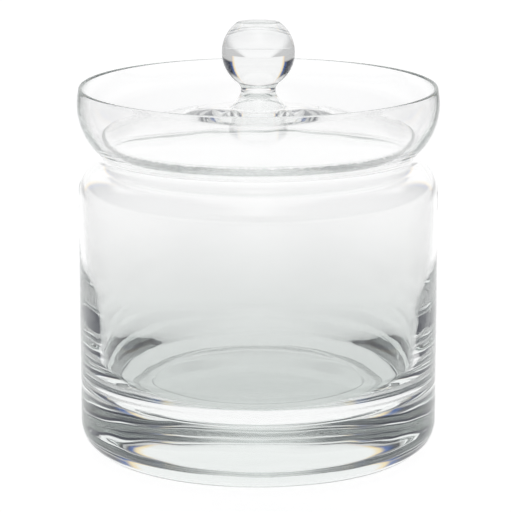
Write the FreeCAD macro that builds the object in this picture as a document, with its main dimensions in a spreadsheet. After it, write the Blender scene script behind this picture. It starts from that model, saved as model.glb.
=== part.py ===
import FreeCAD, Part

import math
import os

import Sketcher

# Specimen jar: a heavy-based blown glass jar with a flared collar, and an inset glass lid with a ball
# knob. Millimetres, +Z up, origin at the centre of the flat base. Every piece is turned, so each one is
# a half section drawn in the XZ plane (x is the radius, y the height) and revolved round Z.

DRIVING_DIMENSIONS = {
    # jar, outside
    "body_radius": 70.0,
    "wall": 2.4,
    "heel_radius": 12.0,
    "shoulder_height": 103.0,
    "shoulder_radius": 11.4,
    "neck_radius": 61.3,
    "neck_groove": 3.4,
    "collar_radius": 70.3,
    "collar_curve": 25.6,
    "collar_inside_curve": 24.0,
    "rim_thickness": 1.4,
    "rim_height": 144.0,
    # jar, inside: below taper_top the wall thickens at taper_angle, in degrees, down to the floor's corner
    "floor_height": 22.0,
    "floor_corner": 20.0,
    "taper_top": 79.0,
    "taper_curve": 90.0,
    "taper_angle": 6.5,
    # lid plate: a shallow dome of even thickness with a round edge and a thicker boss under the knob
    "lid_radius": 61.8,
    "lid_half_thickness": 1.5,
    "lid_edge_height": 122.54,
    "dome_rise": 11.9,
    "seat_height": 135.6,
    "boss_radius": 26.0,
    "boss_height": 128.0,
    "boss_fillet": 20.0,
    # knob
    "foot_radius": 10.2,
    "foot_edge": 0.4,
    "stem_radius": 6.75,
    "stem_curve": 4.3,
    "ball_radius": 14.2,
    "ball_height": 157.1,
    "flat_radius": 8.15,
    "flat_crown": 0.4,
}

SHEET = "Dimensions"
START, END, CENTRE = 1, 2, 3
ORIGIN_POINT = (-1, 1)
AXIS = -2


class Sizes:
    """The driving dimensions, kept in the document's spreadsheet and read back from it by alias."""

    def __init__(self, doc, dimensions):
        self.cells = doc.addObject("Spreadsheet::Sheet", SHEET)
        for row, (alias, value) in enumerate(dimensions.items(), start=1):
            self.cells.set(f"A{row}", alias)
            self.cells.set(f"B{row}", str(value))
            self.cells.setAlias(f"B{row}", alias)
        doc.recompute()

    def __getattr__(self, alias):
        return float(self.cells.get(alias))


class HalfSection:
    """A closed half section of a turned piece. Stretches are drawn in order, each from the last one's end."""

    def __init__(self, body, name):
        plane = next(f for f in body.Origin.OriginFeatures if f.Role == "XZ_Plane")
        self.sketch = body.newObject("Sketcher::SketchObject", name)
        self.sketch.AttachmentSupport = [(plane, "")]
        self.sketch.MapMode = "FlatFace"
        self.stretches = []

    def line(self, start, end):
        segment = Part.LineSegment(FreeCAD.Vector(*start, 0), FreeCAD.Vector(*end, 0))
        self.stretches.append((self.sketch.addGeometry(segment), START, END))
        return self.stretches[-1][0]

    def arc(self, centre, radius, first, last):
        """An arc from the direction first to the direction last, in radians: rising is anticlockwise."""
        circle = Part.Circle(FreeCAD.Vector(*centre, 0), FreeCAD.Vector(0, 0, 1), radius)
        geometry = Part.ArcOfCircle(circle, min(first, last), max(first, last))
        ends = (START, END) if last > first else (END, START)
        self.stretches.append((self.sketch.addGeometry(geometry), *ends))
        return self.stretches[-1][0]

    def close(self, corners):
        """Joins each stretch to the next, smoothly except after the ones in corners."""
        following = self.stretches[1:] + self.stretches[:1]
        for (index, _, end), (after, start, _) in zip(self.stretches, following):
            kind = "Coincident" if index in corners else "Tangent"
            self.fix(kind, index, end, after, start)

    def fix(self, kind, *places):
        return self.sketch.addConstraint(Sketcher.Constraint(kind, *places))

    def bind(self, kind, formula, *places):
        """A dimension that follows the spreadsheet. @ in the formula stands before each alias."""
        held = self.fix(kind, *places)
        self.sketch.setExpression(f"Constraints[{held}]", formula.replace("@", f"<<{SHEET}>>."))

    def radius(self, index, formula):
        self.bind("Radius", formula, index, self.sketch.Geometry[index].Radius)

    def reach(self, index, position, formula):
        """How far a point is from the axis."""
        drawn = self.sketch.getPoint(index, position).x
        self.bind("DistanceX", formula, *ORIGIN_POINT, index, position, drawn)

    def height(self, index, position, formula):
        """How far a point is above the base."""
        drawn = self.sketch.getPoint(index, position).y
        self.bind("DistanceY", formula, *ORIGIN_POINT, index, position, drawn)


def direction(start, end):
    return math.atan2(end[1] - start[1], end[0] - start[0])


def beyond(near, far_x, distance):
    """The height of the point at far_x that lies at a distance from near, above it."""
    return near[1] + math.sqrt(distance**2 - (far_x - near[0]) ** 2)


def touching(first, first_distance, second, second_distance):
    """The point left of the line from first down to second, at the given distance from each."""
    apart = math.dist(first, second)
    along = (first_distance**2 - second_distance**2 + apart**2) / (2 * apart)
    aside = math.sqrt(first_distance**2 - along**2)
    x, y = (second[0] - first[0]) / apart, (second[1] - first[1]) / apart
    return (first[0] + x * along + y * aside, first[1] + y * along - x * aside)


def revolve(body, outline, name):
    turned = body.newObject("PartDesign::Revolution", name)
    turned.Profile = outline.sketch
    turned.ReferenceAxis = (outline.sketch, ["V_Axis"])
    turned.Angle = 360
    outline.sketch.Visibility = False


def new_body(doc, label):
    body = doc.addObject("PartDesign::Body", label)
    body.Label = label
    body.Placement = FreeCAD.Placement()
    return body


def make_jar_body(doc, size):
    """The vessel in one wall: base, side, shoulder, neck groove and flared collar with a rounded lip."""
    body = new_body(doc, "jar_body")
    outline = HalfSection(body, "jar_section")
    heel = (size.body_radius - size.heel_radius, size.heel_radius)
    shoulder = (size.body_radius - size.shoulder_radius, size.shoulder_height)
    groove_x = size.neck_radius + size.neck_groove
    groove = (groove_x, beyond(shoulder, groove_x, size.shoulder_radius + size.neck_groove))
    collar_x = size.collar_radius - size.collar_curve
    collar = (collar_x, beyond(groove, collar_x, size.collar_curve + size.neck_groove))
    lip_radius = size.rim_thickness / 2
    lip_height = size.rim_height - lip_radius
    lip_offset = math.sqrt((size.collar_curve - lip_radius) ** 2 - (lip_height - collar[1]) ** 2)
    lip = (collar_x + lip_offset, lip_height)
    neck_curve = size.neck_groove + size.wall
    within = size.collar_inside_curve
    hollow = touching(lip, within + lip_radius, groove, within + neck_curve)
    to_groove = direction(shoulder, groove)
    to_shoulder = to_groove + math.pi
    groove_to_collar = direction(groove, collar)
    groove_to_hollow = direction(groove, hollow)
    to_lip = direction(collar, lip)
    hollow_to_lip = direction(hollow, lip)
    inside = size.body_radius - size.wall
    lean = math.radians(size.taper_angle)
    taper = (inside - size.taper_curve, size.taper_top)
    taper_end = (taper[0] + size.taper_curve * math.cos(lean), taper[1] - size.taper_curve * math.sin(lean))
    corner_y = size.floor_height + size.floor_corner
    corner_x = taper_end[0] - (taper_end[1] - corner_y) * math.tan(lean) - size.floor_corner / math.cos(lean)
    corner = (corner_x, corner_y)
    corner_top = (
        corner_x + size.floor_corner * math.cos(lean),
        corner_y - size.floor_corner * math.sin(lean),
    )

    base = outline.line((0, 0), (heel[0], 0))
    heel_arc = outline.arc(heel, size.heel_radius, -math.pi / 2, 0)
    side = outline.line((size.body_radius, heel[1]), (size.body_radius, size.shoulder_height))
    shoulder_arc = outline.arc(shoulder, size.shoulder_radius, 0, to_groove)
    groove_arc = outline.arc(groove, size.neck_groove, to_shoulder, groove_to_collar)
    collar_arc = outline.arc(collar, size.collar_curve, groove_to_collar - math.pi, to_lip)
    lip_arc = outline.arc(lip, lip_radius, to_lip, hollow_to_lip + math.pi)
    collar_inside = outline.arc(hollow, within, hollow_to_lip, groove_to_hollow - math.pi)
    neck_inside = outline.arc(groove, neck_curve, groove_to_hollow, to_shoulder)
    shoulder_inside = outline.arc(shoulder, size.shoulder_radius - size.wall, to_groove, 0)
    wall_inside = outline.line((inside, size.shoulder_height), (inside, size.taper_top))
    taper_arc = outline.arc(taper, size.taper_curve, 0, -lean)
    cone = outline.line(taper_end, corner_top)
    corner_arc = outline.arc(corner, size.floor_corner, -lean, -math.pi / 2)
    floor = outline.line((corner[0], size.floor_height), (0, size.floor_height))
    axis = outline.line((0, size.floor_height), (0, 0))
    outline.close(corners=(floor, axis))

    outline.fix("Coincident", base, START, *ORIGIN_POINT)
    outline.fix("Horizontal", base)
    outline.fix("Vertical", side)
    outline.fix("Vertical", wall_inside)
    outline.fix("Horizontal", floor)
    outline.fix("Vertical", axis)
    outline.fix("Coincident", neck_inside, CENTRE, groove_arc, CENTRE)
    outline.fix("Coincident", shoulder_inside, CENTRE, shoulder_arc, CENTRE)
    outline.radius(heel_arc, "@heel_radius")
    outline.reach(side, START, "@body_radius")
    outline.radius(shoulder_arc, "@shoulder_radius")
    outline.height(shoulder_arc, CENTRE, "@shoulder_height")
    outline.radius(groove_arc, "@neck_groove")
    outline.reach(groove_arc, CENTRE, "@neck_radius + @neck_groove")
    outline.radius(collar_arc, "@collar_curve")
    outline.reach(collar_arc, CENTRE, "@collar_radius - @collar_curve")
    outline.radius(lip_arc, "@rim_thickness / 2")
    outline.height(lip_arc, CENTRE, "@rim_height - @rim_thickness / 2")
    outline.radius(collar_inside, "@collar_inside_curve")
    outline.radius(taper_arc, "@taper_curve")
    outline.height(taper_arc, CENTRE, "@taper_top")
    outline.bind("Angle", "-1 deg * (90 + @taper_angle)", cone, -math.pi / 2 - lean)
    outline.radius(corner_arc, "@floor_corner")
    outline.height(floor, START, "@floor_height")
    revolve(body, outline, "jar_turned")
    return body


def make_lid_plate(doc, size):
    """A dome with a flat seat for the knob on top, a full round edge, and a boss under the seat."""
    body = new_body(doc, "lid_plate")
    outline = HalfSection(body, "lid_section")
    half = size.lid_half_thickness
    edge = (size.lid_radius - half, size.lid_edge_height)
    middle_curve = (edge[0] ** 2 + size.dome_rise**2) / (2 * size.dome_rise)
    dome = (0, size.lid_edge_height + size.dome_rise - middle_curve)
    seat_radius = math.sqrt((middle_curve + half) ** 2 - (size.seat_height - dome[1]) ** 2)
    to_seat = direction(dome, (seat_radius, size.seat_height))
    to_edge = direction(dome, edge)
    under_curve = middle_curve - half
    bend = (size.boss_radius, beyond(dome, size.boss_radius, under_curve - size.boss_fillet))
    to_bend = direction(dome, bend)
    depth = bend[1] - size.boss_height
    boss_curve = (bend[0] ** 2 + depth**2 - size.boss_fillet**2) / (2 * (size.boss_fillet + depth))
    boss = (0, size.boss_height + boss_curve)

    seat = outline.line((0, size.seat_height), (seat_radius, size.seat_height))
    top_arc = outline.arc(dome, middle_curve + half, to_seat, to_edge)
    edge_arc = outline.arc(edge, half, to_edge, to_edge - math.pi)
    under_arc = outline.arc(dome, under_curve, to_edge, to_bend)
    bend_arc = outline.arc(bend, size.boss_fillet, to_bend, direction(bend, boss))
    boss_arc = outline.arc(boss, boss_curve, direction(boss, bend), -math.pi / 2)
    axis = outline.line((0, size.boss_height), (0, size.seat_height))
    outline.close(corners=(seat, boss_arc, axis))

    outline.fix("Horizontal", seat)
    outline.fix("PointOnObject", axis, START, AXIS)
    outline.fix("Vertical", axis)
    outline.fix("PointOnObject", top_arc, CENTRE, AXIS)
    outline.fix("Coincident", under_arc, CENTRE, top_arc, CENTRE)
    outline.fix("PointOnObject", boss_arc, CENTRE, AXIS)
    outline.height(seat, START, "@seat_height")
    middle = "((@lid_radius - @lid_half_thickness)^2 + @dome_rise^2) / (2 * @dome_rise)"
    outline.radius(top_arc, f"{middle} + @lid_half_thickness")
    outline.radius(edge_arc, "@lid_half_thickness")
    outline.reach(edge_arc, CENTRE, "@lid_radius - @lid_half_thickness")
    outline.height(edge_arc, CENTRE, "@lid_edge_height")
    outline.radius(bend_arc, "@boss_fillet")
    outline.reach(bend_arc, CENTRE, "@boss_radius")
    outline.height(axis, START, "@boss_height")
    revolve(body, outline, "lid_turned")
    return body


def make_lid_knob(doc, size):
    """A solid ball with a polished flat on top, on a waisted stem whose foot sits on the lid's seat."""
    body = new_body(doc, "lid_knob")
    outline = HalfSection(body, "knob_section")
    ball = (0, size.ball_height)
    stem_x = size.stem_radius + size.stem_curve
    centre_distance = size.ball_radius + size.stem_curve
    stem = (stem_x, size.ball_height - math.sqrt(centre_distance**2 - stem_x**2))
    foot_top = (size.foot_radius, size.seat_height + size.foot_edge)
    lean = math.acos(size.stem_curve / math.dist(stem, foot_top))
    to_skirt = 2 * math.pi + direction(stem, foot_top) - lean
    skirt_top = (
        stem_x + size.stem_curve * math.cos(to_skirt),
        stem[1] + size.stem_curve * math.sin(to_skirt),
    )
    to_flat = math.acos(size.flat_radius / size.ball_radius)
    flat_edge = (size.flat_radius, size.ball_height + size.ball_radius * math.sin(to_flat))
    crown_curve = (size.flat_radius**2 + size.flat_crown**2) / (2 * size.flat_crown)
    top = flat_edge[1] + size.flat_crown
    crown = (0, top - crown_curve)

    bottom = outline.line((0, size.seat_height), (size.foot_radius, size.seat_height))
    foot_edge = outline.line((size.foot_radius, size.seat_height), foot_top)
    skirt = outline.line(foot_top, skirt_top)
    stem_arc = outline.arc(stem, size.stem_curve, to_skirt, direction(stem, ball))
    ball_arc = outline.arc(ball, size.ball_radius, direction(ball, stem), to_flat)
    crown_arc = outline.arc(crown, crown_curve, direction(crown, flat_edge), math.pi / 2)
    axis = outline.line((0, top), (0, size.seat_height))
    outline.close(corners=(bottom, foot_edge, ball_arc, crown_arc, axis))

    outline.fix("Horizontal", bottom)
    outline.fix("Vertical", foot_edge)
    outline.fix("PointOnObject", axis, START, AXIS)
    outline.fix("Vertical", axis)
    outline.fix("PointOnObject", ball_arc, CENTRE, AXIS)
    outline.fix("PointOnObject", crown_arc, CENTRE, AXIS)
    outline.height(bottom, START, "@seat_height")
    outline.reach(bottom, END, "@foot_radius")
    outline.height(foot_edge, END, "@seat_height + @foot_edge")
    outline.radius(stem_arc, "@stem_curve")
    outline.reach(stem_arc, CENTRE, "@stem_radius + @stem_curve")
    outline.radius(ball_arc, "@ball_radius")
    outline.height(ball_arc, CENTRE, "@ball_height")
    outline.reach(ball_arc, END, "@flat_radius")
    flat = "@ball_height + sqrt(@ball_radius^2 - @flat_radius^2)"
    outline.height(axis, START, f"{flat} + @flat_crown")
    revolve(body, outline, "knob_turned")
    return body


def check(doc, bodies):
    """Stops if any object failed to compute, or a piece isn't one valid solid."""
    for item in doc.Objects:
        if {"Invalid", "Error"} & set(item.State):
            raise RuntimeError(f"{item.Label} failed: {item.State}")
    for body in bodies:
        shape = body.Shape
        if shape.isNull() or not shape.isValid() or len(shape.Solids) != 1:
            raise RuntimeError(f"{body.Label} isn't one valid solid")
        box = shape.optimalBoundingBox(False)
        print(f"{body.Label}: {shape.Volume / 1000:.1f} cm3, radius {box.XMax:.2f},", end=" ")
        print(f"z {box.ZMin:.2f} to {box.ZMax:.2f}")


def main():
    doc = FreeCAD.newDocument("specimen_jar")
    size = Sizes(doc, DRIVING_DIMENSIONS)
    bodies = [make_jar_body(doc, size), make_lid_plate(doc, size), make_lid_knob(doc, size)]
    doc.recompute()
    check(doc, bodies)
    os.makedirs("parts", exist_ok=True)
    for body in bodies:
        body.Shape.exportStep(f"parts/{body.Label}.step")


main()
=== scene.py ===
import math

import bmesh
import bpy
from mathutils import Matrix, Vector, noise


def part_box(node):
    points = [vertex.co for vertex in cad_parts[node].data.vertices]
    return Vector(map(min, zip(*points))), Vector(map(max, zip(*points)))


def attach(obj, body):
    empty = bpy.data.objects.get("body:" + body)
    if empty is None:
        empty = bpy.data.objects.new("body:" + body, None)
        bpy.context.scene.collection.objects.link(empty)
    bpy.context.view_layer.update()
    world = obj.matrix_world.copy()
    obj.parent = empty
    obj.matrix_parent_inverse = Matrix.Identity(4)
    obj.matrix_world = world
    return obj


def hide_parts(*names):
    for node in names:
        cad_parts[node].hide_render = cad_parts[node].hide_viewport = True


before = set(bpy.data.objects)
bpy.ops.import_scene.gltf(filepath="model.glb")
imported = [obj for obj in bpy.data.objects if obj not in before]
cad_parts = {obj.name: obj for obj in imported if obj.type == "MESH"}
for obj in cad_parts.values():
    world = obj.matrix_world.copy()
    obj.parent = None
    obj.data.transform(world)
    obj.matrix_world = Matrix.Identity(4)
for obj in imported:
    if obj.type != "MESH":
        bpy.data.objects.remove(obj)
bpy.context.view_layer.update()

MM = 0.001

# The section of each piece, in millimetres: x is the radius, y the height. These are the driving
# dimensions of the CAD bodies, so the smooth glass lies where the CAD solids do.
JAR_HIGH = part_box("jar_body")[1]
LID_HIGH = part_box("lid_plate")[1]
KNOB_LOW, KNOB_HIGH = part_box("lid_knob")

WALL = 2.4
BODY_RADIUS = 70.0
HEEL_RADIUS = 12.0
SHOULDER_HEIGHT = 103.0
SHOULDER_RADIUS = 11.4
NECK_RADIUS = 61.3
NECK_GROOVE = 3.4
COLLAR_RADIUS = JAR_HIGH[0] / MM
COLLAR_CURVE = 25.6
COLLAR_INSIDE_CURVE = 24.0
RIM_RADIUS = 0.7
RIM_HEIGHT = JAR_HIGH[2] / MM
FLOOR_HEIGHT = 22.0
FLOOR_CORNER = 20.0
TAPER_TOP = 79.0
TAPER_CURVE = 90.0
TAPER_ANGLE = math.radians(6.5)

LID_RADIUS = LID_HIGH[0] / MM
LID_HALF = 1.5
LID_EDGE_HEIGHT = 122.54
DOME_RISE = 11.9
BOSS_RADIUS = 26.0
BOSS_HEIGHT = 128.0
BOSS_FILLET = 20.0

SEAT_HEIGHT = KNOB_LOW[2] / MM
FOOT_RADIUS = 10.2
FOOT_EDGE = 0.4
FOOT_SPREAD = 0.3
STEM_RADIUS = 6.75
STEM_CURVE = 4.3
BALL_RADIUS = KNOB_HIGH[0] / MM
BALL_HEIGHT = 157.1
FLAT_RADIUS = 8.15
FLAT_CROWN = 0.4

# How finely the sections are cut up, in millimetres and radians, and into how many steps they are turned.
TURN_STEPS = 256
LONGEST_STEP = 1.5
ARC_STEP = math.radians(6)
CLOSEST = 1e-4

# Ripples in the jar's surface. Each has its greatest share, how fast it varies round the jar and the
# height it varies over. The fades are the sizes between which the ripples stop. All but the turns in mm.
SLOW_RIPPLE = 0.09
SLOW_TURNS = 2.1
SLOW_HEIGHT = 21
QUICK_RIPPLE = 0.035
QUICK_TURNS = 5.3
QUICK_HEIGHT = 9
HEEL_RIPPLE = 0.08
UPWARD_FADE = (62, 108)
HEEL_FADE = (10, 20)
INWARD_FADE = (30, 56)

# Glass. A scale is how many times a pattern varies in a metre, and the depths of chips and the ridge are
# multiples of the relief's depth.
GLASS_IOR = 1.52
GLASS_COLOUR = (0.92, 0.937, 0.93, 1)
GLASS_DENSITY = 14.0
RELIEF_DEPTH = 0.08 * MM
RELIEF_SCALE = 42
RELIEF_FLATTENING = (1, 1, 2.4)
CHIP_SCALE = 900
CHIP_DEPTH = 8.0
RIDGE_DEPTH = 4.0
WORN_ROUGHNESS = 0.25
GRAIN_SCALE = 1900
SMEAR_ROUGHNESS = 0.006
SMEAR_SCALE = 38
SMEAR_RANGE = (0.55, 0.8)
CLOUD_SCALE = 9
CLOUD_LEAST = 0.94
CLOUD_SPREAD = 0.12
# Painted shade for the jar's inside: colours by how far down it lies, greyer towards the floor.
INSIDE_PAINTED_SHADE = [(0.0, (1, 1, 1)), (0.35, (0.86, 0.866, 0.86)), (0.9, (0.61, 0.645, 0.63))]
LID_TINT = [(0.3, (0.985, 0.985, 0.985)), (0.7, (1, 1, 1))]

# Where the finishes and the jar's painted shade change, in millimetres. A pair is the two sizes between
# which one fades into the other.
MID_WALL = BODY_RADIUS - WALL / 2
# These three set where the jar's painted shade lies: inside the wall, above the base, and deepening
# downwards between two heights.
INSIDE_RADII = (MID_WALL - 0.6, MID_WALL)
ABOVE_BASE = (FLOOR_HEIGHT - 3, FLOOR_HEIGHT - 1.5)
PAINTED_SHADE_HEIGHTS = (20, 115)
BASE_WEAR_HEIGHTS = (0.05, 0.4)
BASE_WEAR_RADII = (53, 57)
LID_GROUND_HEIGHTS = (123.6, 124.2)
LID_GROUND_RADII = (60, 61)
RIDGE_RADIUS = 42.7
RIDGE_HALF = 0.5
RIDGE_HEIGHTS = (20, 21)

# The floor, in metres. It lies a little below the base so that the two faces don't share a plane.
FLOOR_HALF = 3.0
FLOOR_DROP = 0.0003
FLOOR_GLOW = 0.93
FLOOR_COLOUR = (0.3, 0.3, 0.3, 1)
WIDENING = 0.16
SIDEWAYS_FADE = (0.14, 0.4)
SIDEWAYS_LOSS = 0.45
FORWARDS_FADE = (0.12, 0.4)
FORWARDS_LOSS = 0.35

# The camera, in metres, degrees and millimetres.
CAMERA_PLACE = (-0.0009, -1.158, 0.3377)
CAMERA_DOWN = 12.715
SENSOR = 36.0
LENS = 213.103

# The studio's light: colours by degrees round from straight ahead, or by degrees above the horizon.
WHITE = (1, 1, 1)
BLACK = (0, 0, 0)
WARM = (1.0, 0.8, 0.45)
BLUE = (0.05, 0.13, 0.4)
NAVY = (0.006, 0.012, 0.035)
BACK_LIGHT = (0.015, 0.016, 0.018)
OVERHEAD = (0.85, 0.85, 0.85)
HORIZON = (0.62, 0.62, 0.62)
SIDE_LIGHT = (0.012, 0.018, 0.035)
PANELS_ROUND = [(30.4, WHITE), (34, WARM), (37.24, BLUE), (43, NAVY), (144.6, NAVY), (150, BACK_LIGHT)]
HORIZON_AND_TOP = [(4, HORIZON), (7, BLACK), (64, BLACK), (72, OVERHEAD)]
HIGH_BOX = [(27, BLACK), (35, OVERHEAD)]
HIGH_BOX_ROUND = [(52, WHITE), (64, SIDE_LIGHT), (146, SIDE_LIGHT), (180, WHITE)]

# Light is led far along inside thick glass, so it may bounce many times before it is given up.
GLASS_BOUNCES = 96
DIFFUSE_BOUNCES = 4
TRANSPARENT_BOUNCES = 16


class Section:
    """Half of a turned piece's outline, from the axis round to the axis again."""

    def __init__(self):
        self.points = []

    def add(self, x, y):
        if not self.points or math.dist(self.points[-1], (x, y)) > CLOSEST:
            self.points.append((x, y))

    def line(self, start, end):
        steps = max(1, math.ceil(math.dist(start, end) / LONGEST_STEP))
        for i in range(steps + 1):
            k = i / steps
            self.add(start[0] + (end[0] - start[0]) * k, start[1] + (end[1] - start[1]) * k)

    def arc(self, centre, radius, first, last):
        turn = abs(last - first)
        steps = max(2, math.ceil(turn * radius / LONGEST_STEP), math.ceil(turn / ARC_STEP))
        for i in range(steps + 1):
            a = first + (last - first) * i / steps
            self.add(centre[0] + radius * math.cos(a), centre[1] + radius * math.sin(a))


def direction(start, end):
    return math.atan2(end[1] - start[1], end[0] - start[0])


def beyond(near, far_x, distance):
    """The height of the point at far_x that lies at a distance from near, above it."""
    return near[1] + math.sqrt(distance**2 - (far_x - near[0]) ** 2)


def touching(first, first_distance, second, second_distance):
    """The point left of the line from first down to second, at the given distance from each."""
    apart = math.dist(first, second)
    along = (first_distance**2 - second_distance**2 + apart**2) / (2 * apart)
    aside = math.sqrt(first_distance**2 - along**2)
    x, y = (second[0] - first[0]) / apart, (second[1] - first[1]) / apart
    return (first[0] + x * along + y * aside, first[1] + y * along - x * aside)


def jar_section():
    """The vessel: along the base, up the outside, round the lip, down the inside and in along the floor."""
    heel = (BODY_RADIUS - HEEL_RADIUS, HEEL_RADIUS)
    shoulder = (BODY_RADIUS - SHOULDER_RADIUS, SHOULDER_HEIGHT)
    groove_x = NECK_RADIUS + NECK_GROOVE
    groove = (groove_x, beyond(shoulder, groove_x, SHOULDER_RADIUS + NECK_GROOVE))
    collar_x = COLLAR_RADIUS - COLLAR_CURVE
    collar = (collar_x, beyond(groove, collar_x, COLLAR_CURVE + NECK_GROOVE))
    lip_y = RIM_HEIGHT - RIM_RADIUS
    lip = (collar_x + math.sqrt((COLLAR_CURVE - RIM_RADIUS) ** 2 - (lip_y - collar[1]) ** 2), lip_y)
    neck_curve = NECK_GROOVE + WALL
    hollow = touching(lip, COLLAR_INSIDE_CURVE + RIM_RADIUS, groove, COLLAR_INSIDE_CURVE + neck_curve)
    to_groove = direction(shoulder, groove)
    groove_to_collar = direction(groove, collar)
    groove_to_hollow = direction(groove, hollow)
    to_lip = direction(collar, lip)
    hollow_to_lip = direction(hollow, lip)
    inside = BODY_RADIUS - WALL
    taper = (inside - TAPER_CURVE, TAPER_TOP)
    sine, cosine = math.sin(TAPER_ANGLE), math.cos(TAPER_ANGLE)
    taper_end = (taper[0] + TAPER_CURVE * cosine, taper[1] - TAPER_CURVE * sine)
    corner_y = FLOOR_HEIGHT + FLOOR_CORNER
    corner_x = taper_end[0] - (taper_end[1] - corner_y) * sine / cosine - FLOOR_CORNER / cosine
    corner = (corner_x, corner_y)
    corner_top = (corner_x + FLOOR_CORNER * cosine, corner_y - FLOOR_CORNER * sine)

    section = Section()
    section.line((0, 0), (heel[0], 0))
    section.arc(heel, HEEL_RADIUS, -math.pi / 2, 0)
    section.line((BODY_RADIUS, heel[1]), (BODY_RADIUS, SHOULDER_HEIGHT))
    section.arc(shoulder, SHOULDER_RADIUS, 0, to_groove)
    section.arc(groove, NECK_GROOVE, to_groove + math.pi, groove_to_collar)
    section.arc(collar, COLLAR_CURVE, groove_to_collar - math.pi, to_lip)
    section.arc(lip, RIM_RADIUS, to_lip, hollow_to_lip + math.pi)
    section.arc(hollow, COLLAR_INSIDE_CURVE, hollow_to_lip, groove_to_hollow - math.pi)
    section.arc(groove, neck_curve, groove_to_hollow, to_groove + math.pi)
    section.arc(shoulder, SHOULDER_RADIUS - WALL, to_groove, 0)
    section.line((inside, SHOULDER_HEIGHT), (inside, TAPER_TOP))
    section.arc(taper, TAPER_CURVE, 0, -TAPER_ANGLE)
    section.line(taper_end, corner_top)
    section.arc(corner, FLOOR_CORNER, -TAPER_ANGLE, -math.pi / 2)
    section.line((corner_x, FLOOR_HEIGHT), (0, FLOOR_HEIGHT))
    return section.points


def lid_section():
    """The knob and the plate as one skin, because they are one piece of glass once fused."""
    edge = (LID_RADIUS - LID_HALF, LID_EDGE_HEIGHT)
    middle = (edge[0] ** 2 + DOME_RISE**2) / (2 * DOME_RISE)
    dome = (0, LID_EDGE_HEIGHT + DOME_RISE - middle)
    to_edge = direction(dome, edge)
    under = middle - LID_HALF
    bend = (BOSS_RADIUS, beyond(dome, BOSS_RADIUS, under - BOSS_FILLET))
    depth = bend[1] - BOSS_HEIGHT
    boss_curve = (bend[0] ** 2 + depth**2 - BOSS_FILLET**2) / (2 * (BOSS_FILLET + depth))
    boss = (0, BOSS_HEIGHT + boss_curve)
    ball = (0, BALL_HEIGHT)
    stem_x = STEM_RADIUS + STEM_CURVE
    stem = (stem_x, BALL_HEIGHT - math.sqrt((BALL_RADIUS + STEM_CURVE) ** 2 - stem_x**2))
    foot_top = (FOOT_RADIUS, SEAT_HEIGHT + FOOT_EDGE)
    to_skirt = 2 * math.pi + direction(stem, foot_top)
    to_skirt -= math.acos(STEM_CURVE / math.dist(stem, foot_top))
    skirt = (stem_x + STEM_CURVE * math.cos(to_skirt), stem[1] + STEM_CURVE * math.sin(to_skirt))
    to_flat = math.acos(FLAT_RADIUS / BALL_RADIUS)
    flat_edge = (FLAT_RADIUS, BALL_HEIGHT + BALL_RADIUS * math.sin(to_flat))
    crown_curve = (FLAT_RADIUS**2 + FLAT_CROWN**2) / (2 * FLAT_CROWN)
    crown = (0, flat_edge[1] + FLAT_CROWN - crown_curve)
    top_curve = middle + LID_HALF
    foot_x = FOOT_RADIUS + FOOT_SPREAD
    foot = (foot_x, dome[1] + math.sqrt(top_curve**2 - foot_x**2))

    section = Section()
    section.arc(boss, boss_curve, -math.pi / 2, direction(boss, bend))
    section.arc(bend, BOSS_FILLET, direction(bend, boss), direction(dome, bend))
    section.arc(dome, under, direction(dome, bend), to_edge)
    section.arc(edge, LID_HALF, to_edge - math.pi, to_edge)
    section.arc(dome, top_curve, to_edge, direction(dome, foot))
    section.line(foot, foot_top)
    section.line(foot_top, skirt)
    section.arc(stem, STEM_CURVE, to_skirt, direction(stem, ball))
    section.arc(ball, BALL_RADIUS, direction(ball, stem), to_flat)
    section.arc(crown, crown_curve, direction(crown, flat_edge), math.pi / 2)
    return section.points


def smooth(value, low, high):
    """0 below low and 1 above high, with an even rise between."""
    k = min(max((value - low) / (high - low), 0), 1)
    return k * k * (3 - 2 * k)


def rippled(x, y, angle):
    """How far the jar's surface strays from true because it was blown and turned by hand, in mm."""
    round_place = Vector((math.cos(angle), math.sin(angle), 0))
    slow = noise.noise(round_place * SLOW_TURNS + Vector((0, 0, y / SLOW_HEIGHT)))
    quick = noise.noise(round_place * QUICK_TURNS + Vector((4, 7, y / QUICK_HEIGHT)))
    low_down = 1 - smooth(y, *UPWARD_FADE)
    heel = 1 - smooth(y, *HEEL_FADE)
    outside = smooth(x, *INWARD_FADE)
    wall = low_down * SLOW_RIPPLE * slow + low_down * QUICK_RIPPLE * quick
    return outside * (wall + heel * HEEL_RIPPLE * quick)


def even(x, y, angle):
    """A surface that doesn't stray from true."""
    return 0.0


def placed(name, work):
    """An object in the scene from a finished bmesh, which is freed."""
    mesh = bpy.data.meshes.new(name)
    work.to_mesh(mesh)
    work.free()
    piece = bpy.data.objects.new(name, mesh)
    bpy.context.scene.collection.objects.link(piece)
    return piece


def quad_corners(low, high, i):
    """The corners of one face between two rings, where a ring on the axis has a single corner."""
    j = (i + 1) % TURN_STEPS
    corners = []
    for corner in (low[i % len(low)], low[j % len(low)], high[j % len(high)], high[i % len(high)]):
        if corner not in corners:
            corners.append(corner)
    return corners


def turned(name, points, stray):
    """A closed, smooth piece from a section whose first and last points are on the axis."""
    work = bmesh.new()
    rings = []
    for x, y in points:
        if x < CLOSEST:
            rings.append([work.verts.new((0, 0, y * MM))])
            continue
        ring = []
        for i in range(TURN_STEPS):
            a = 2 * math.pi * i / TURN_STEPS
            radius = x + stray(x, y, a)
            ring.append(work.verts.new((radius * MM * math.cos(a), radius * MM * math.sin(a), y * MM)))
        rings.append(ring)
    for low, high in zip(rings, rings[1:]):
        for i in range(TURN_STEPS):
            work.faces.new(quad_corners(low, high, i))
    bmesh.ops.recalc_face_normals(work, faces=work.faces)
    piece = placed(name, work)
    for face in piece.data.polygons:
        face.use_smooth = True
    return piece


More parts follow.
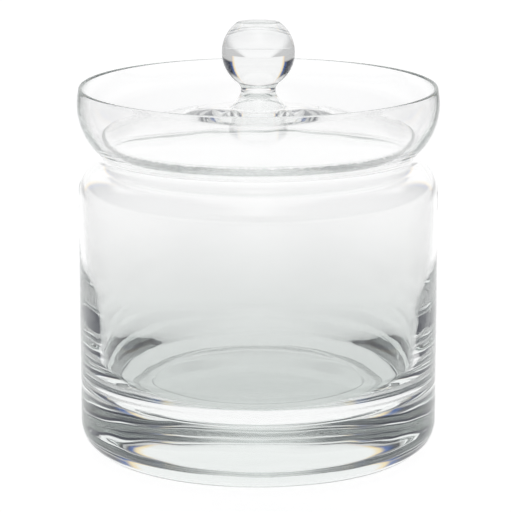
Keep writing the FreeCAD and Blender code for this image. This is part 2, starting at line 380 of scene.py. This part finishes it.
class Nodes:
    """Short ways to add and join the nodes of one tree."""

    def __init__(self, tree):
        self.tree = tree

    def add(self, kind, **settings):
        node = self.tree.nodes.new(kind)
        for key, value in settings.items():
            setattr(node, key, value)
        return node

    def join(self, value, socket):
        """Links an output to the socket, or sets the socket to a plain value."""
        if isinstance(value, (int, float, tuple)):
            socket.default_value = value
        else:
            self.tree.links.new(value, socket)

    def math(self, operation, first, second=0.0):
        node = self.add("ShaderNodeMath", operation=operation)
        self.join(first, node.inputs[0])
        self.join(second, node.inputs[1])
        return node.outputs[0]

    def plus(self, first, second):
        return self.math("ADD", first, second)

    def minus(self, first, second):
        return self.math("SUBTRACT", first, second)

    def times(self, first, second):
        return self.math("MULTIPLY", first, second)

    def between(self, value, low, high):
        """0 where value is below low, rising evenly to 1 where it is above high."""
        node = self.add("ShaderNodeMapRange", interpolation_type="SMOOTHSTEP")
        self.join(value, node.inputs["Value"])
        self.join(low, node.inputs["From Min"])
        self.join(high, node.inputs["From Max"])
        return node.outputs["Result"]

    def noise(self, place, scale, detail=2.0):
        node = self.add("ShaderNodeTexNoise")
        self.join(place, node.inputs["Vector"])
        self.join(float(scale), node.inputs["Scale"])
        self.join(detail, node.inputs["Detail"])
        return node.outputs["Fac"]

    def ramp(self, value, stops):
        """Colours by value: stops is a list of (position from 0 to 1, (red, green, blue))."""
        node = self.add("ShaderNodeValToRGB")
        self.join(value, node.inputs["Fac"])
        elements = node.color_ramp.elements
        elements.remove(elements[1])
        elements[0].position = stops[0][0]
        elements[0].color = (*stops[0][1], 1)
        for position, colour in stops[1:]:
            elements.new(position).color = (*colour, 1)
        return node.outputs["Color"]

    def mix(self, blend, first, second):
        """Two colours blended in full. Inputs 6 and 7 and output 2 are a mix node's colour sockets."""
        node = self.add("ShaderNodeMix", data_type="RGBA", blend_type=blend)
        node.inputs["Factor"].default_value = 1.0
        self.join(first, node.inputs[6])
        self.join(second, node.inputs[7])
        return node.outputs[2]

    def split(self, place):
        """The X, Y and Z outputs of a place."""
        node = self.add("ShaderNodeSeparateXYZ")
        self.join(place, node.inputs[0])
        return node.outputs["X"], node.outputs["Y"], node.outputs["Z"]


class Surface:
    """Where a point of a turned piece is. The methods fade from 0 to 1 or back between two sizes in mm."""

    def __init__(self, nodes):
        self.nodes = nodes
        self.place = nodes.add("ShaderNodeTexCoord").outputs["Object"]
        x, y, self.height = nodes.split(self.place)
        self.radius = nodes.math("SQRT", nodes.plus(nodes.times(x, x), nodes.times(y, y)))

    def above(self, low, high):
        return self.nodes.between(self.height, low * MM, high * MM)

    def below(self, low, high):
        return self.nodes.minus(1.0, self.above(low, high))

    def outside(self, low, high):
        return self.nodes.between(self.radius, low * MM, high * MM)

    def within(self, low, high):
        return self.nodes.minus(1.0, self.outside(low, high))


def jar_painted_shade(surface):
    """Painted shade: the inner surface is painted grey, more towards the floor, standing in for the darker
    floor seen through the lower jar.
    """
    nodes = surface.nodes
    inside = nodes.times(surface.within(*INSIDE_RADII), surface.above(*ABOVE_BASE))
    depth = nodes.times(surface.below(*PAINTED_SHADE_HEIGHTS), inside)
    cloud = nodes.plus(nodes.times(nodes.noise(surface.place, CLOUD_SCALE), CLOUD_SPREAD), CLOUD_LEAST)
    return nodes.ramp(nodes.times(depth, cloud), INSIDE_PAINTED_SHADE)


def lid_tint(surface):
    """Almost clear, with a faint cloud."""
    return surface.nodes.ramp(surface.nodes.noise(surface.place, CLOUD_SCALE), LID_TINT)


def jar_wear(surface):
    """The ring of the base that rubs on the shelf."""
    return surface.nodes.times(surface.below(*BASE_WEAR_HEIGHTS), surface.outside(*BASE_WEAR_RADII))


def lid_wear(surface):
    """The ground edge of the plate where it rests in the collar."""
    return surface.nodes.times(surface.below(*LID_GROUND_HEIGHTS), surface.outside(*LID_GROUND_RADII))


def jar_ridge(surface):
    """A faint, narrow ridge in the cavity's floor, round its flat middle."""
    rising = surface.outside(RIDGE_RADIUS - RIDGE_HALF, RIDGE_RADIUS)
    falling = surface.outside(RIDGE_RADIUS, RIDGE_RADIUS + RIDGE_HALF)
    ridge = surface.nodes.minus(rising, falling)
    return surface.nodes.times(ridge, surface.above(*RIDGE_HEIGHTS))


def no_ridge(surface):
    """A surface without a ridge."""
    return 0.0


def roughness(surface, worn):
    """Polished, with faint smears, and grainy where it is worn."""
    nodes = surface.nodes
    smears = nodes.between(nodes.noise(surface.place, SMEAR_SCALE, 3.0), *SMEAR_RANGE)
    grains = nodes.times(nodes.noise(surface.place, GRAIN_SCALE), WORN_ROUGHNESS)
    return nodes.plus(nodes.times(worn, grains), nodes.times(smears, SMEAR_ROUGHNESS))


def relief(surface, worn, ridge):
    """The normal of a slightly uneven surface: flattened ripples, chips where it is worn, and the ridge."""
    nodes = surface.nodes
    flattened = nodes.add("ShaderNodeMapping")
    nodes.join(surface.place, flattened.inputs["Vector"])
    flattened.inputs["Scale"].default_value = RELIEF_FLATTENING
    ripple = nodes.noise(flattened.outputs["Vector"], RELIEF_SCALE, 1.0)
    chips = nodes.times(worn, nodes.noise(surface.place, CHIP_SCALE, 3.0))
    height = nodes.plus(ripple, nodes.times(chips, CHIP_DEPTH))
    bump = nodes.add("ShaderNodeBump")
    bump.inputs["Strength"].default_value = 1.0
    bump.inputs["Distance"].default_value = RELIEF_DEPTH
    nodes.join(nodes.plus(height, nodes.times(ridge, RIDGE_DEPTH)), bump.inputs["Height"])
    return bump.outputs["Normal"]


def absorb(nodes):
    """The faint grey-green that shows through a thickness of glass."""
    volume = nodes.add("ShaderNodeVolumeAbsorption")
    volume.inputs["Color"].default_value = GLASS_COLOUR
    volume.inputs["Density"].default_value = GLASS_DENSITY
    nodes.join(volume.outputs["Volume"], nodes.tree.nodes["Material Output"].inputs["Volume"])


def glass(name, colour_and_painted_shade, wear, ridge):
    """Clear glass. Three functions of a Surface give its colour (on the jar, painted shade), its worn
    places and its ridges.
    """
    material = bpy.data.materials.new(name)
    material.use_nodes = True
    nodes = Nodes(material.node_tree)
    surface = Surface(nodes)
    worn = wear(surface)
    shader = nodes.tree.nodes["Principled BSDF"]
    shader.inputs["IOR"].default_value = GLASS_IOR
    shader.inputs["Transmission Weight"].default_value = 1.0
    # The base colour: the lid's faint cloud, or the jar's painted shade.
    nodes.join(colour_and_painted_shade(surface), shader.inputs["Base Color"])
    nodes.join(roughness(surface, worn), shader.inputs["Roughness"])
    nodes.join(relief(surface, worn, ridge(surface)), shader.inputs["Normal"])
    absorb(nodes)
    return material


def make_jar():
    jar = turned("jar_glass", jar_section(), rippled)
    # The jar's glass is painted greyer inside towards the floor: painted shade.
    jar.data.materials.append(glass("jar_glass", jar_painted_shade, jar_wear, jar_ridge))
    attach(jar, "jar")
    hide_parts("jar_body")


def make_lid():
    lid = turned("lid_glass", lid_section(), even)
    lid.data.materials.append(glass("lid_glass", lid_tint, lid_wear, no_ridge))
    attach(lid, "lid")
    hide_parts("lid_plate", "lid_knob")


def floor_glow(nodes):
    """How brightly the floor is lit: full round the jar, dimmer to the sides and towards the camera."""
    x, y, _ = nodes.split(nodes.add("ShaderNodeTexCoord").outputs["Object"])
    across = nodes.minus(nodes.math("ABSOLUTE", x), nodes.times(y, WIDENING))
    sideways = nodes.between(across, *SIDEWAYS_FADE)
    forwards = nodes.between(nodes.times(y, -1.0), *FORWARDS_FADE)
    beside = nodes.minus(1.0, nodes.times(sideways, SIDEWAYS_LOSS))
    before = nodes.minus(1.0, nodes.times(forwards, FORWARDS_LOSS))
    return nodes.times(nodes.times(beside, before), FLOOR_GLOW)


def floor_material():
    """Matt and pale, lit from within so that no lamp shows in the glass."""
    material = bpy.data.materials.new("floor")
    material.use_nodes = True
    nodes = Nodes(material.node_tree)
    shader = nodes.tree.nodes["Principled BSDF"]
    shader.inputs["Base Color"].default_value = FLOOR_COLOUR
    shader.inputs["Roughness"].default_value = 1.0
    shader.inputs["Specular IOR Level"].default_value = 0.0
    shader.inputs["Emission Color"].default_value = (1, 1, 1, 1)
    nodes.join(floor_glow(nodes), shader.inputs["Emission Strength"])
    return material


def make_floor():
    work = bmesh.new()
    bmesh.ops.create_grid(work, x_segments=1, y_segments=1, size=FLOOR_HALF)
    floor = placed("floor", work)
    floor.location.z = -FLOOR_DROP
    floor.data.materials.append(floor_material())


def make_camera():
    data = bpy.data.cameras.new("camera")
    camera = bpy.data.objects.new("camera", data)
    bpy.context.scene.collection.objects.link(camera)
    bpy.context.scene.camera = camera
    data.sensor_width = SENSOR
    data.lens = LENS
    camera.location = CAMERA_PLACE
    camera.rotation_euler = (math.radians(90 - CAMERA_DOWN), 0, 0)


def round_ramp(nodes, turn, stops):
    """Colours by degrees round from straight ahead, the same to the left and the right."""
    return nodes.ramp(turn, [(degrees / 180, colour) for degrees, colour in stops])


def height_ramp(nodes, rise, stops):
    """Colours by degrees above the horizon."""
    return nodes.ramp(rise, [(0.5 + degrees / 180, colour) for degrees, colour in stops])


def make_world():
    """A studio: pale sweep ahead and all round the horizon, dark flags at the sides, soft light above."""
    world = bpy.data.worlds.new("studio")
    bpy.context.scene.world = world
    world.use_nodes = True
    nodes = Nodes(world.node_tree)
    x, y, z = nodes.split(nodes.add("ShaderNodeTexCoord").outputs["Generated"])
    turn = nodes.math("DIVIDE", nodes.math("ARCTAN2", nodes.math("ABSOLUTE", x), y), math.pi)
    rise = nodes.plus(nodes.math("DIVIDE", nodes.math("ARCSINE", z), math.pi), 0.5)
    panels = round_ramp(nodes, turn, PANELS_ROUND)
    horizon_and_top = height_ramp(nodes, rise, HORIZON_AND_TOP)
    high = height_ramp(nodes, rise, HIGH_BOX)
    boxes = nodes.mix("MULTIPLY", high, round_ramp(nodes, turn, HIGH_BOX_ROUND))
    light = nodes.mix("LIGHTEN", nodes.mix("LIGHTEN", panels, horizon_and_top), boxes)
    background = world.node_tree.nodes["Background"]
    nodes.join(light, background.inputs["Color"])
    background.inputs["Strength"].default_value = 1.0


def set_view_and_bounces():
    scene = bpy.context.scene
    scene.view_settings.view_transform = "Standard"
    scene.cycles.max_bounces = GLASS_BOUNCES
    scene.cycles.transmission_bounces = GLASS_BOUNCES
    scene.cycles.glossy_bounces = GLASS_BOUNCES
    scene.cycles.diffuse_bounces = DIFFUSE_BOUNCES
    scene.cycles.transparent_max_bounces = TRANSPARENT_BOUNCES


make_jar()
make_lid()
make_floor()
make_camera()
make_world()
set_view_and_bounces()
